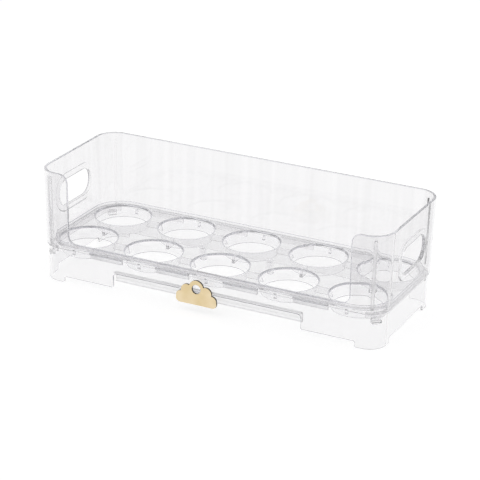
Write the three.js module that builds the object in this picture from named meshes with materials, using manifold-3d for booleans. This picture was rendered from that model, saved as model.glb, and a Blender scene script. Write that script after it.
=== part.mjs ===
// A clear stackable egg holder: a skirted base, a wall that snaps onto it, a lift-out tray of
// conical cups, and a gold date marker that slides along a rail in the front of the base.
// Millimetres, +Z up, origin on the ground under the middle, +X along the row, front at -Y.
import * as THREE from 'three';
import { mergeVertices } from 'three/addons/utils/BufferGeometryUtils.js';
import Module from 'manifold-3d';

const wasm = await Module();
wasm.setup();

// Outside of the holder
const rimLength = 253.6;
const rimDepth = 94.9;
const overallHeight = 78.4;
const rimCornerRadius = 15;
const wallThickness = 1.9;
const endWallFlare = 1.6;
const sideWallFlare = 1.0;
const seamHeight = 24.4;
const seatGap = 0.3;

// Front opening of the wall
const frontReturnLength = 24;
const lipHeight = 29.3;
const openingFillet = 6;
const returnRounding = 6.5;

// Handle hole in each end wall
const handleLength = 40;
const handleHeight = 18.5;
const handleMiddleHeight = 51.2;
const handleCornerRadius = 8.6;
const handleRingWidth = 4.6;
const handleRingRaise = 0.6;

// Ledge, tongue, snap hooks and stacking stops of the wall
const ledgeThickness = 0.8;
const tongueThickness = 1.2;
const tongueDepth = 3.4;
const cupCutoutLength = 25.6;
const hookWidth = 6;
const hookDrop = 3.1;
const hookThickness = 1.4;
const hookSetback = 0.35;
const hookNoseHeight = 1.8;
const hookNoseLength = 1.7;
const hookWindowGap = 0.5;
const stopWidth = 2.2;
const stopDepth = 1.6;
const stopBelowRim = 4;
const stopTurnShare = 0.68;

// Base
const baseInset = 1.25;
const baseWallThickness = 1.6;
const skirtLift = 4;
const footLength = 17;
const notchLength = 138;
const notchHeight = 14;
const notchCornerRadius = 2.5;

// Rail behind the notch
const railSetback = 1.6;
const railBeadThickness = 2.4;
const railBeadHeight = 2.2;
const railBottomHeight = 7.6;
const railWebThickness = 1.2;
const railShelfThickness = 1.4;
const railShelfAboveNotch = 1.2;
const railOverlap = 0.5;

// Egg tray
const deckHeight = 26.9;
const deckThickness = 1.4;
const deckEdgeGap = 0.35;
const deckCornerRadius = 20.5;
const cupColumns = 5;
const cupRows = 2;
const cupEndMargin = 2.5;
const cupSideMargin = 0.4;
const cupMouthRadius = 20.5;
const cupMouthRounding = 1.3;
const cupHoleRadius = 17.4;
const cupDepth = 8.3;
const cupWallThickness = 1;
const ribThickness = 1.2;
const ribDepth = 4.6;
const finThickness = 2;
const bossRadius = 2.6;
const bossBoreRadius = 1.3;
const bossLength = 8;

// Date marker
const tabLength = 30;
const tabHeight = 17.3;
const tabThickness = 1.6;
const tabBottomHeight = 5.7;
const tabHoleRadius = 3.2;
const tabHoleHeight = 11.1;
const markerOffset = -5.5;
const carriageLength = 14;
const carriageWall = 1.4;
const carriageLipHeight = 1.3;
const pegRadius = 1.1;
const pegLength = 1.8;
const pegSpacing = 8;
const pegEndGap = 0.3;

// Cuts reach this far past the faces that they open
const overrun = 1;

// Facet counts
const cornerSteps = 9;
const cupFacets = 40;
const bossFacets = 16;
const lobeSteps = 5;
const pegSteps = 3;
const roundingSteps = 3;

const corners = [[1, 1], [-1, 1], [-1, -1], [1, -1]];
const quarterTurn = Math.PI / 2;

const clearPlastic = { color: 0xe9ebee, roughness: 0.08, metalness: 0, transparent: true, opacity: 0.4 };
const goldFinish = { color: 0xdcb877, roughness: 0.35, metalness: 0.4 };

// Solids

function toSolid(geometry) {
  const bare = geometry.clone();
  for (const name of Object.keys(bare.attributes)) {
    if (name !== 'position') bare.deleteAttribute(name);
  }
  const merged = mergeVertices(bare);
  const index = merged.index.array;
  const triangles = [];
  for (let i = 0; i < index.length; i += 3) {
    const [a, b, c] = [index[i], index[i + 1], index[i + 2]];
    if (a !== b && b !== c && c !== a) triangles.push(a, b, c);
  }
  const vertProperties = Float32Array.from(merged.attributes.position.array);
  const triVerts = Uint32Array.from(triangles);
  return new wasm.Manifold(new wasm.Mesh({ numProp: 3, vertProperties, triVerts }));
}

function toGeometry(solid) {
  const mesh = solid.getMesh();
  const geometry = new THREE.BufferGeometry();
  geometry.setAttribute('position', new THREE.BufferAttribute(mesh.vertProperties, mesh.numProp));
  geometry.setIndex(new THREE.BufferAttribute(mesh.triVerts, 1));
  return geometry;
}

const joined = (first, ...rest) => rest.reduce((whole, piece) => whole.add(piece), first);
const cut = (body, ...tools) => tools.reduce((whole, tool) => whole.subtract(tool), body);

// A closed skin through equal rows of points: open rows are capped, a ring closes on its first row
function loft(rows, ring = false) {
  const count = rows[0].length;
  const positions = rows.flat().flatMap((point) => [point.x, point.y, point.z]);
  const index = [];
  const bands = ring ? rows.length : rows.length - 1;
  for (let band = 0; band < bands; band += 1) {
    const low = band * count;
    const high = ((band + 1) % rows.length) * count;
    for (let i = 0; i < count; i += 1) {
      const j = (i + 1) % count;
      index.push(low + i, low + j, high + j, low + i, high + j, high + i);
    }
  }
  if (!ring) {
    const flat = rows[0].map((point) => new THREE.Vector2(point.x, point.y));
    const last = (rows.length - 1) * count;
    for (const [a, b, c] of THREE.ShapeUtils.triangulateShape(flat, [])) {
      index.push(c, b, a, last + a, last + b, last + c);
    }
  }
  const geometry = new THREE.BufferGeometry();
  geometry.setAttribute('position', new THREE.Float32BufferAttribute(positions, 3));
  geometry.setIndex(index);
  return toSolid(geometry);
}

function box(x0, x1, y0, y1, z0, z1) {
  const geometry = new THREE.BoxGeometry(x1 - x0, y1 - y0, z1 - z0);
  geometry.translate((x0 + x1) / 2, (y0 + y1) / 2, (z0 + z1) / 2);
  return toSolid(geometry);
}

// A solid of revolution about a vertical axis through x, y
function turned(profile, x, y, facets) {
  const geometry = new THREE.LatheGeometry(profile.map(([r, z]) => new THREE.Vector2(r, z)), facets);
  geometry.rotateX(quarterTurn);
  geometry.translate(x, y, 0);
  return toSolid(geometry);
}

// A shape drawn in the XZ plane, filling y0 to y1
function acrossY(shape, y0, y1, segments) {
  const options = { depth: y1 - y0, bevelEnabled: false, curveSegments: segments };
  const geometry = new THREE.ExtrudeGeometry(shape, options);
  geometry.rotateX(quarterTurn);
  geometry.translate(0, y1, 0);
  return toSolid(geometry);
}

// A shape drawn in the YZ plane, filling x0 to x1
function acrossX(shape, x0, x1, segments) {
  const options = { depth: x1 - x0, bevelEnabled: false, curveSegments: segments };
  const geometry = new THREE.ExtrudeGeometry(shape, options);
  geometry.rotateX(quarterTurn);
  geometry.rotateZ(quarterTurn);
  geometry.translate(x0, 0, 0);
  return toSolid(geometry);
}

function roundedShape(halfLength, halfHeight, radius, middle) {
  const [x, z] = [halfLength - radius, halfHeight - radius];
  const shape = new THREE.Shape();
  shape.absarc(x, middle + z, radius, 0, quarterTurn);
  shape.absarc(-x, middle + z, radius, quarterTurn, 2 * quarterTurn);
  shape.absarc(-x, middle - z, radius, 2 * quarterTurn, 3 * quarterTurn);
  shape.absarc(x, middle - z, radius, 3 * quarterTurn, 4 * quarterTurn);
  return shape;
}

// Outlines seen from above

// Half sizes and corner radius of the wall's outside at a height, from the seam to the rim
function wallPlan(height) {
  const fall = (overallHeight - height) / (overallHeight - seamHeight);
  return {
    x: rimLength / 2 - endWallFlare * fall,
    y: rimDepth / 2 - sideWallFlare * fall,
    radius: rimCornerRadius - (endWallFlare + sideWallFlare) * fall / 2,
  };
}

const inset = (plan, by) => ({ x: plan.x - by, y: plan.y - by, radius: plan.radius - by });

function outline(plan, height) {
  const points = [];
  corners.forEach(([sx, sy], quarter) => {
    const x = sx * (plan.x - plan.radius);
    const y = sy * (plan.y - plan.radius);
    for (let i = 0; i <= cornerSteps; i += 1) {
      const angle = quarterTurn * (quarter + i / cornerSteps);
      const [along, across] = [plan.radius * Math.cos(angle), plan.radius * Math.sin(angle)];
      points.push(new THREE.Vector3(x + along, y + across, height));
    }
  });
  return points;
}

// A wall that follows an outline, from z0 up to z1
function ringWall(outside, inside, z0, z1) {
  return loft([outline(outside, z0), outline(outside, z1), outline(inside, z1), outline(inside, z0)], true);
}

// A block that reaches out along the diagonal of one corner, between two distances from its centre
function cornerBlock(plan, [sx, sy], from, to, width, z0, z1) {
  const block = new THREE.BoxGeometry(to - from, width, z1 - z0);
  block.translate((from + to) / 2, 0, (z0 + z1) / 2);
  block.rotateZ(Math.atan2(sy, sx));
  block.translate(sx * (plan.x - plan.radius), sy * (plan.y - plan.radius), 0);
  return toSolid(block);
}

// Sizes that several pieces share
const seamPlan = wallPlan(seamHeight);
const deckPlan = {
  x: wallPlan(deckHeight).x - wallThickness - deckEdgeGap,
  y: wallPlan(deckHeight).y - wallThickness - deckEdgeGap,
  radius: deckCornerRadius,
};
const cupPitchAlong = 2 * (deckPlan.x - cupEndMargin - cupMouthRadius) / (cupColumns - 1);
const cupPitchAcross = 2 * (deckPlan.y - cupSideMargin - cupMouthRadius) / (cupRows - 1);
const basePlan = inset(seamPlan, baseInset);
const baseInside = inset(basePlan, baseWallThickness);
const tonguePlan = inset(baseInside, seatGap);
const tongueInside = inset(tonguePlan, tongueThickness);
const baseTop = seamHeight - seatGap;
const deckUnderside = deckHeight - deckThickness;
const ledgeTop = seamHeight + ledgeThickness;
const cupBottom = deckHeight - cupDepth;
const cupNeckRadius = cupMouthRadius - cupMouthRounding;
const hookBottom = seamHeight - tongueDepth - hookDrop;
const hookReach = tonguePlan.radius - hookSetback;
const baseFront = -basePlan.y;
const baseFrontInside = -baseInside.y;
const beadFront = baseFrontInside + railSetback;
const beadBack = beadFront + railBeadThickness;
const railMiddle = (beadFront + beadBack) / 2;
const beadTop = railBottomHeight + railBeadHeight;

function cupPlaces() {
  const places = [];
  for (let row = 0; row < cupRows; row += 1) {
    for (let column = 0; column < cupColumns; column += 1) {
      const x = (column - (cupColumns - 1) / 2) * cupPitchAlong;
      const y = (row - (cupRows - 1) / 2) * cupPitchAcross;
      places.push([x, y]);
    }
  }
  return places;
}

const columnPlaces = cupPlaces().slice(0, cupColumns).map(([x]) => x);
const rowPlaces = cupPlaces().filter((place, i) => i % cupColumns === 0).map(([, y]) => y);

// Base: a skirt on four corner feet, open below, with a wide notch in front

function notchShape() {
  const half = notchLength / 2;
  const radius = notchCornerRadius;
  const shape = new THREE.Shape();
  shape.moveTo(-half, -overrun);
  shape.lineTo(half, -overrun);
  shape.absarc(half - radius, notchHeight - radius, radius, 0, quarterTurn);
  shape.absarc(radius - half, notchHeight - radius, radius, quarterTurn, 2 * quarterTurn);
  return shape;
}

function makeRail() {
  const half = notchLength / 2 + railOverlap;
  const shelfBottom = notchHeight + railShelfAboveNotch;
  const shelfTop = shelfBottom + railShelfThickness;
  const webFront = railMiddle - railWebThickness / 2;
  const webBack = railMiddle + railWebThickness / 2;
  const embedded = baseFrontInside - baseWallThickness / 2;
  return joined(
    box(-half, half, beadFront, beadBack, railBottomHeight, beadTop),
    box(-half, half, webFront, webBack, railBottomHeight, shelfTop),
    box(-half, half, embedded, webBack, shelfBottom, shelfTop),
  );
}

function makeBase() {
  const skirt = ringWall(basePlan, baseInside, 0, baseTop);
  const clearX = basePlan.x - footLength;
  const clearY = basePlan.y - footLength;
  const farX = basePlan.x + overrun;
  const farY = basePlan.y + overrun;
  const windowWidth = hookWidth + 2 * hookWindowGap;
  const windows = corners.map((corner) => cornerBlock(
    basePlan, corner, baseInside.radius - overrun, basePlan.radius + overrun, windowWidth,
    hookBottom - hookWindowGap, hookBottom + hookNoseHeight + hookWindowGap,
  ));
  return joined(cut(
    skirt,
    box(-clearX, clearX, -farY, farY, -overrun, skirtLift),
    box(-farX, farX, -clearY, clearY, -overrun, skirtLift),
    acrossY(notchShape(), baseFront - overrun, baseFrontInside + overrun, cornerSteps),
    ...windows,
  ), makeRail());
}

// Wall: high back and ends with short front returns, on a ledge that carries the egg tray

function frontOpeningShape() {
  const half = rimLength / 2 - frontReturnLength;
  const outerHalf = half + returnRounding;
  const low = lipHeight + openingFillet;
  const high = overallHeight - returnRounding;
  const shape = new THREE.Shape();
  shape.absarc(openingFillet - half, low, openingFillet, 2 * quarterTurn, 3 * quarterTurn);
  shape.absarc(half - openingFillet, low, openingFillet, 3 * quarterTurn, 4 * quarterTurn);
  shape.absarc(outerHalf, high, returnRounding, 2 * quarterTurn, quarterTurn, true);
  shape.lineTo(outerHalf, overallHeight + overrun);
  shape.lineTo(-outerHalf, overallHeight + overrun);
  shape.absarc(-outerHalf, high, returnRounding, quarterTurn, 0, true);
  return shape;
}

function stackingStop(corner) {
  const [sx, sy] = corner;
  const rows = [deckHeight + seatGap, overallHeight - stopBelowRim].map((height) => {
    const plan = inset(wallPlan(height), wallThickness);
    const middle = new THREE.Vector3(sx * (plan.x - plan.radius), sy * (plan.y - plan.radius), height);
    const turn = quarterTurn * stopTurnShare;
    const out = new THREE.Vector3(sx * Math.cos(turn), sy * Math.sin(turn), 0);
    const side = new THREE.Vector3(-out.y, out.x, 0);
    const near = plan.radius - stopDepth;
    const far = plan.radius + wallThickness / 2;
    return [[near, -1], [far, -1], [far, 1], [near, 1]].map(([reach, hand]) => middle.clone()
      .addScaledVector(out, reach)
      .addScaledVector(side, sx * sy * hand * stopWidth / 2));
  });
  return loft(sx * sy > 0 ? rows : rows.map((row) => row.slice().reverse()));
}

function snapHook(corner) {
  const tongueFoot = seamHeight - tongueDepth + tongueThickness;
  const leg = cornerBlock(
    tonguePlan, corner, hookReach - hookThickness, hookReach, hookWidth, hookBottom, tongueFoot,
  );
  const nose = cornerBlock(
    tonguePlan, corner, hookReach - hookThickness / 2, hookReach + hookNoseLength, hookWidth,
    hookBottom, hookBottom + hookNoseHeight,
  );
  return joined(leg, nose);
}

function makeWall() {
  const rimPlan = wallPlan(overallHeight);
  const shell = loft([
    outline(seamPlan, seamHeight),
    outline(rimPlan, overallHeight),
    outline(inset(rimPlan, wallThickness), overallHeight),
    outline(inset(seamPlan, wallThickness), seamHeight),
  ], true);
  const ledge = ringWall(inset(seamPlan, wallThickness / 2), tongueInside, seamHeight, ledgeTop);
  const tongue = ringWall(tonguePlan, tongueInside, seamHeight - tongueDepth, ledgeTop);
  const innerReach = seamPlan.y - wallThickness;
  const cutouts = columnPlaces.map((x) => box(
    x - cupCutoutLength / 2, x + cupCutoutLength / 2, -innerReach, innerReach, 0, ledgeTop + overrun,
  ));
  const carrier = cut(joined(ledge, tongue), ...cutouts);
  const halfLength = handleLength / 2;
  const halfHeight = handleHeight / 2;
  const ringShape = roundedShape(
    halfLength + handleRingWidth, halfHeight + handleRingWidth, handleCornerRadius + handleRingWidth,
    handleMiddleHeight,
  );
  const holeShape = roundedShape(halfLength, halfHeight, handleCornerRadius, handleMiddleHeight);
  const ringBack = rimPlan.x - wallThickness;
  const ringFace = wallPlan(handleMiddleHeight).x + handleRingRaise;
  const rightRing = acrossX(ringShape, ringBack + wallThickness / 2, ringFace, cornerSteps);
  const leftRing = acrossX(ringShape, -ringFace, -ringBack - wallThickness / 2, cornerSteps);
  const holes = acrossX(holeShape, -rimPlan.x - overrun, rimPlan.x + overrun, cornerSteps);
  const opening = acrossY(
    frontOpeningShape(), -rimPlan.y - overrun, -tongueInside.y, cornerSteps,
  );
  return joined(
    cut(joined(shell, rightRing, leftRing), holes, opening),
    carrier,
    ...corners.map(stackingStop),
    ...corners.map(snapHook),
  );
}

// Egg tray: a flat deck with conical cups that are open at the bottom, and ribs between them

function cupSkin([x, y]) {
  return turned([
    [0, cupBottom],
    [cupHoleRadius + cupWallThickness, cupBottom],
    [cupNeckRadius + cupWallThickness, deckUnderside],
    [cupNeckRadius + cupWallThickness, deckHeight - deckThickness / 2],
    [0, deckHeight - deckThickness / 2],
  ], x, y, cupFacets);
}

function cupSpace([x, y]) {
  const neckHeight = deckHeight - cupMouthRounding;
  const slope = (cupNeckRadius - cupHoleRadius) / (neckHeight - cupBottom);
  const profile = [[0, cupBottom - overrun], [cupHoleRadius - slope * overrun, cupBottom - overrun]];
  for (let i = 0; i <= roundingSteps; i += 1) {
    const angle = quarterTurn * i / roundingSteps;
    profile.push([
      cupMouthRadius - cupMouthRounding * Math.cos(angle),
      neckHeight + cupMouthRounding * Math.sin(angle),
    ]);
  }
  profile.push([cupMouthRadius, deckHeight + overrun], [0, deckHeight + overrun]);
  return turned(profile, x, y, cupFacets);
}

function boss(x) {
  const top = deckHeight - deckThickness / 2;
  const bottom = deckUnderside - bossLength;
  return turned([
    [bossBoreRadius, bottom], [bossRadius, bottom], [bossRadius, top], [0, top],
    [0, deckUnderside], [bossBoreRadius, deckUnderside], [bossBoreRadius, bottom],
  ], x, 0, bossFacets);
}

function makeTray() {
  const places = cupPlaces();
  const deck = loft([outline(deckPlan, deckUnderside), outline(deckPlan, deckHeight)]);
  const ribTop = deckHeight - deckThickness / 2;
  const ribEnd = columnPlaces[cupColumns - 1];
  const finEnd = baseInside.y - seatGap;
  const ribs = rowPlaces.map((y) => box(
    -ribEnd, ribEnd, y - ribThickness / 2, y + ribThickness / 2, deckUnderside - ribDepth, ribTop,
  ));
  const fins = columnPlaces.map((x) => box(
    x - finThickness / 2, x + finThickness / 2, -finEnd, finEnd, deckUnderside - ribDepth, ribTop,
  ));
  const bosses = [-cupPitchAlong / 2, cupPitchAlong / 2].map(boss);
  return cut(joined(deck, ...places.map(cupSkin), ...ribs, ...fins, ...bosses), ...places.map(cupSpace));
}

// Date marker: a scalloped gold tab in front of the base, on a clear carriage that grips the rail

const tabBack = baseFront - seatGap;
const tabFront = tabBack - tabThickness;
const pegHeight = (railBottomHeight + beadTop) / 2;

// Lobes of the tab's edge: place along half its length, place up its height, and radius over its height
const lobeShares = [[0, 0.694, 0.306], [0.467, 0.543, 0.243], [0.76, 0.283, 0.197]];

// Radius of the tab's rounded foot over its height
const footShare = 0.17;

function makeTab() {
  const lobes = [];
  for (const [along, up, size] of lobeShares) {
    for (const hand of along > 0 ? [-1, 1] : [1]) {
      const radius = size * tabHeight;
      const halfHeight = (up + size) * tabHeight / 2;
      const x = hand * along * (tabLength / 2);
      lobes.push(acrossY(
        roundedShape(radius, halfHeight, radius, tabBottomHeight + halfHeight),
        tabFront, tabBack, lobeSteps,
      ).translate([x, 0, 0]));
    }
  }
  const footRadius = footShare * tabHeight;
  const foot = acrossY(
    roundedShape(tabLength / 2, footRadius, footRadius, tabBottomHeight + footRadius),
    tabFront, tabBack, lobeSteps,
  );
  const hole = acrossY(
    roundedShape(tabHoleRadius, tabHoleRadius, tabHoleRadius, tabBottomHeight + tabHoleHeight),
    tabFront - overrun, tabBack + overrun, lobeSteps,
  );
  const pegShape = roundedShape(pegRadius, pegRadius, pegRadius, pegHeight);
  const peg = acrossY(pegShape, tabBack - tabThickness / 2, tabBack + pegLength, pegSteps);
  return joined(
    cut(joined(foot, ...lobes), hole),
    peg.translate([-pegSpacing / 2, 0, 0]),
    peg.translate([pegSpacing / 2, 0, 0]),
  ).translate([markerOffset, 0, 0]);
}

function makeCarriage() {
  const half = carriageLength / 2;
  const front = baseFront;
  const back = beadBack + seatGap + carriageWall;
  const bottom = railBottomHeight - seatGap - carriageWall;
  const lipBottom = beadTop + seatGap;
  const top = lipBottom + carriageLipHeight;
  const webGap = railWebThickness / 2 + seatGap;
  const socketRadius = pegRadius + seatGap;
  const socketShape = roundedShape(socketRadius, socketRadius, socketRadius, pegHeight);
  const socketEnd = tabBack + pegLength + pegEndGap;
  const socket = acrossY(socketShape, front - overrun, socketEnd, pegSteps);
  return cut(
    box(-half, half, front, back, bottom, top),
    box(
      -half - overrun, half + overrun, beadFront - seatGap, beadBack + seatGap,
      railBottomHeight - seatGap, lipBottom,
    ),
    box(
      -half - overrun, half + overrun, railMiddle - webGap, railMiddle + webGap,
      beadTop, top + overrun,
    ),
    socket.translate([-pegSpacing / 2, 0, 0]),
    socket.translate([pegSpacing / 2, 0, 0]),
  ).translate([markerOffset, 0, 0]);
}

// Assembly

const holder = new THREE.Group();

function addPiece(parent, name, solid, finish) {
  const mesh = new THREE.Mesh(toGeometry(solid), new THREE.MeshStandardMaterial(finish));
  mesh.name = name;
  parent.add(mesh);
}

const marker = new THREE.Group();
addPiece(holder, 'base_skirt', makeBase(), clearPlastic);
addPiece(holder, 'surround_wall', makeWall(), clearPlastic);
addPiece(holder, 'egg_tray', makeTray(), clearPlastic);
addPiece(marker, 'date_marker_tab', makeTab(), goldFinish);
addPiece(marker, 'date_marker_carriage', makeCarriage(), clearPlastic);
holder.add(marker);

export default holder;
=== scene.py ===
"""A clear stackable egg holder with a gold date marker, on a white studio floor.

Metres, +Z up, front at -Y. Each moulded piece is rebuilt with rounded edges in the place of its CAD solid.
"""
from math import cos, pi, radians, sin

import bpy
import numpy as np
from mathutils import Matrix, Vector
from mathutils.geometry import delaunay_2d_cdt


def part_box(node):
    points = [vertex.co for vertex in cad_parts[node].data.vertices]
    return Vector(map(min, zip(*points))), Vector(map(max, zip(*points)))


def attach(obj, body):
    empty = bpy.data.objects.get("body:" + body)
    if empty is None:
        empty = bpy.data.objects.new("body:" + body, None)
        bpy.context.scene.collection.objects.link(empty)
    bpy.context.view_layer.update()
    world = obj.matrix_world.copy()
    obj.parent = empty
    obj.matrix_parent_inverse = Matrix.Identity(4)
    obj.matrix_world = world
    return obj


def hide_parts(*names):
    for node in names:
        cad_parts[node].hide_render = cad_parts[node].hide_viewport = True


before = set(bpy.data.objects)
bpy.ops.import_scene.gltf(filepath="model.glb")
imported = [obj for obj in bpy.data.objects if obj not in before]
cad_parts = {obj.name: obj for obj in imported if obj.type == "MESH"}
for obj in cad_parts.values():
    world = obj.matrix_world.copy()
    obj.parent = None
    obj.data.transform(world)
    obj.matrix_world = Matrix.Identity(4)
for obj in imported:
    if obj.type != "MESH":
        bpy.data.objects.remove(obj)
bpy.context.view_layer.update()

MM = 0.001

# Boxes that the frame gives
base_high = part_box("base_skirt")[1]
wall_low, wall_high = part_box("surround_wall")
tray_low, tray_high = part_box("egg_tray")
tab_low, tab_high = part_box("date_marker_tab")

# Wall
WALL = 1.9 * MM
WALL_EDGE = 0.5 * MM
SEAM = base_high.z + 0.3 * MM
RIM = wall_high.z
END_FLARE = 1.6 * MM
SIDE_FLARE = 1.0 * MM
RIM_CORNER = 15 * MM
LIP = 29.3 * MM
OPENING_HALF = 102.8 * MM
OPENING_FILLET = 6 * MM
RETURN_ROUNDING = 6.5 * MM
HANDLE_HALF = (20 * MM, 9.25 * MM)
HANDLE_CORNER = 8.6 * MM
HANDLE_MIDDLE = 51.2 * MM
HANDLE_RING = 4.6 * MM
HANDLE_RAISE = 0.6 * MM
HANDLE_SHOULDER = 0.9 * MM
STOP_HALF_WIDTH = 1.1 * MM
STOP_SHOULDER = 0.5 * MM
STOP_DEPTH = 1.5 * MM
STOP_TOP = RIM - 4 * MM
STOP_BOTTOM = tray_high.z + 0.3 * MM
STOP_TURN = 0.68  # Where a stop stands, as a share of its corner's quarter turn
STOP_SATIN = 0.3  # How far in a face stands, from 0 to 1, to be satin

# Ledge, tongue and hooks of the wall, as distances in from its outside at the seam
LEDGE = 0.8 * MM
LEDGE_START = 1.85 * MM
TONGUE_START = 3.15 * MM
TONGUE_END = 4.35 * MM
TONGUE_DEPTH = 3.4 * MM
DASH_HALF = 12.2 * MM
END_LEDGE = 113.3 * MM  # From the middle of the back to where an end's length starts
SMALL_EDGE = 0.2 * MM
HOOK_HALF_WIDTH = 3 * MM
HOOK_SETBACKS = (4.9 * MM, 3.5 * MM, 1.8 * MM)
HOOK_NOSE = 1.8 * MM
HOOK_TOP = SEAM - 2.2 * MM

# Base
BASE_WALL = 1.6 * MM
BASE_EDGE = 0.4 * MM
BASE_INSET = 1.25 * MM
SKIRT_LIFT = 4 * MM
FOOT = 17 * MM
FOOT_CORNER = 1.2 * MM
NOTCH_HALF = 69 * MM
NOTCH_TOP = 14 * MM
NOTCH_CORNER = 2.5 * MM
WINDOW_HALF = (3.5 * MM, 1.4 * MM)
WINDOW_CORNER = 1.0 * MM

# Rail behind the notch
RAIL_HALF = 68.8 * MM
RAIL_SETBACK = 1.6 * MM
BEAD = (2.4 * MM, 2.2 * MM)
BEAD_BOTTOM = 7.6 * MM
WEB = 1.2 * MM
SHELF = (14.1 * MM, 15.3 * MM)
SHELF_BENDS = (0.8 * MM, 2 * MM)
BEAD_CORNERS = (0.9 * MM, 0.35 * MM)

# Egg tray
DECK = 1.4 * MM
DECK_BOTTOM = tray_high.z - DECK
DECK_EDGE = 0.25 * MM
DECK_RIM = (0.9 * MM, 2.1 * MM)
DECK_CORNER = 20.5 * MM
CUP_MOUTH = 20.5 * MM
CUP_ROUNDING = 1.3 * MM
CUP_NECK = CUP_MOUTH - CUP_ROUNDING
CUP_HOLE = 17.4 * MM
CUP_WALL = 1 * MM
CUP_BOTTOM = tray_high.z - 8.3 * MM
CUP_FILLET = 0.15 * MM
CUP_MARGINS = (2.5 * MM, 0.4 * MM)
RIB_HALF = 0.6 * MM
FIN_HALF = 1 * MM
RIB_BOTTOM = tray_high.z - 6 * MM
FIN_END = 43.3 * MM
BOSS_RADIUS = 2.6 * MM
BOSS_BORE = 1.3 * MM
BOSS_EDGE = 0.3 * MM
FUSED = 0.05 * MM  # How far a piece reaches into the one it is moulded to
cup_end = tray_high.x - CUP_MARGINS[0] - CUP_MOUTH
cup_side = tray_high.y - CUP_MARGINS[1] - CUP_MOUTH
cup_columns = [cup_end * column / 2 for column in range(-2, 3)]
cup_rows = [-cup_side, cup_side]

# Marker: the lobes have a place across, as a share of half the tab's width, and a height and a radius, as
# shares of its height
TAB_HALF = 0.8 * MM
TAB_SETOFF = 1.1 * MM
TAB_EDGE = 0.25 * MM
TAB_HOLE = 3.2 * MM
TAB_HOLE_HEIGHT = 11.1 * MM
TAB_LOBES = [(0, 0.694, 0.306), (0.467, 0.543, 0.243), (0.76, 0.283, 0.197)]
TAB_FOOT = 0.17
TAB_BLEND = 0.12 * MM
TAB_CENTRE = 0.42
TAB_REACH = 18 * MM
PEG = 1.1 * MM
PEG_PLACE = 4 * MM
PEG_LENGTH = 1.8 * MM
CARRIAGE_EDGE = 0.25 * MM
CARRIAGE_SHARP = radians(40)  # Edges that turn further than this are eased

# How finely curves are stepped
FINE = 1.2 * MM
COARSE = 5 * MM
CUP_STEPS = 112
BOSS_STEPS = 32
PEG_STEPS = 24
TAB_HOLE_STEPS = 48
TAB_STEPS = 240
TAB_TRIAL = 0.02 * MM
EDGE_STEPS = 4
RING_LOOPS = (0.3, 0.65)  # Round a hand hole, as shares of the way out to the ring's shoulder
SHOULDER_LOOPS = (-0.3, 0, 0.2, 0.4, 0.6, 0.8, 1)  # Shares of the way in across the shoulder

# Tolerances
WELD = 0.0005 * MM
NOTHING = 1e-9  # A shorter stretch of an outline is left out
SLACK = 1e-6
SHARPEST = 0.5  # Keeps the offset at a sharp corner from growing without end

# Looks of the clear plastic: a pattern has a scale, a detail and a squeeze along each axis
FLOW_LINES = (200, 1, (1, 1, 0.02))
FLOW_CONTRAST = (-0.5, 1.5)
WAVES = (45, 2, (1, 1, 0.15))
WAVE_BUMP = (0.04, 0.2 * MM)
# Painted shade: the grey that faces along the plastic's edges get, in the place of the darker surroundings
# seen through them
PAINTED_EDGE_SHADE = (0.68, 0.68, 0.715)
DEPTH_COLOUR = (0.5, 0.5, 0.52)
DEPTH_DENSITY = 2
SHADOW_COLOUR = (0.96, 0.96, 0.965)
PLASTIC_IOR = 1.46
SATIN_ROUGHNESS = 0.3
CLEAR_ROUGHNESS = 0.035

# Studio
FLOOR_HALF = 3.0
FLOOR_ROUGHNESS = 0.8
# For rays that light the object, and for rays that show the floor
FLOOR_COLOURS = (0.9, 0.42)
FLOOR_GLOWS = (0.0, 0.73)
WORLD_LIGHT = 0.55
ROOM_HEIGHTS = (0.15, 0.5)  # Where the room that gloss and glass show starts and stops dimming
ROOM_LIGHTS = (1.0, 0.5)
LAMP_AIM = (0, 0, 0.03)
LAMP_SIZE = 2
CAMERA_AIM = (2.4 * MM, 36.21 * MM)  # To the picture's right, and up from the floor
CAMERA_DISTANCE = 1.35006
CAMERA_LENS = 151.6
CAMERA_CLIP = 100
BOUNCES = 96
SHADOW_BOUNCES = 32


# Outlines in two dimensions

def arc(x, y, radius, start, end, steps):
    """Points along a circular arc, in degrees."""
    angles = np.radians(np.linspace(start, end, steps + 1))
    return np.c_[x + radius * np.cos(angles), y + radius * np.sin(angles)]


def circle(x, y, radius, steps):
    """Points round a full circle, counterclockwise."""
    return arc(x, y, radius, 0, 360, steps)[:-1]


def rounded_box(half_x, half_y, radius, x=0.0, y=0.0, steps=8):
    """A rounded rectangle, counterclockwise."""
    in_x, in_y = half_x - radius, half_y - radius
    return np.concatenate([
        arc(x + in_x, y + in_y, radius, 0, 90, steps), arc(x - in_x, y + in_y, radius, 90, 180, steps),
        arc(x - in_x, y - in_y, radius, 180, 270, steps), arc(x + in_x, y - in_y, radius, 270, 360, steps),
    ])


def divided(points, step, closed=True):
    """The same outline with no stretch longer than step."""
    points = np.asarray(points, float)
    ends = np.roll(points, -1, axis=0) if closed else points[1:]
    pieces = []
    for start, end in zip(points, ends):
        count = max(1, int(np.ceil(np.linalg.norm(end - start) / step - SLACK)))
        if np.linalg.norm(end - start) > NOTHING:
            pieces.append(start + (end - start) * (np.arange(count) / count)[:, None])
    if not closed:
        pieces.append(points[-1:])
    return np.concatenate(pieces)


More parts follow.
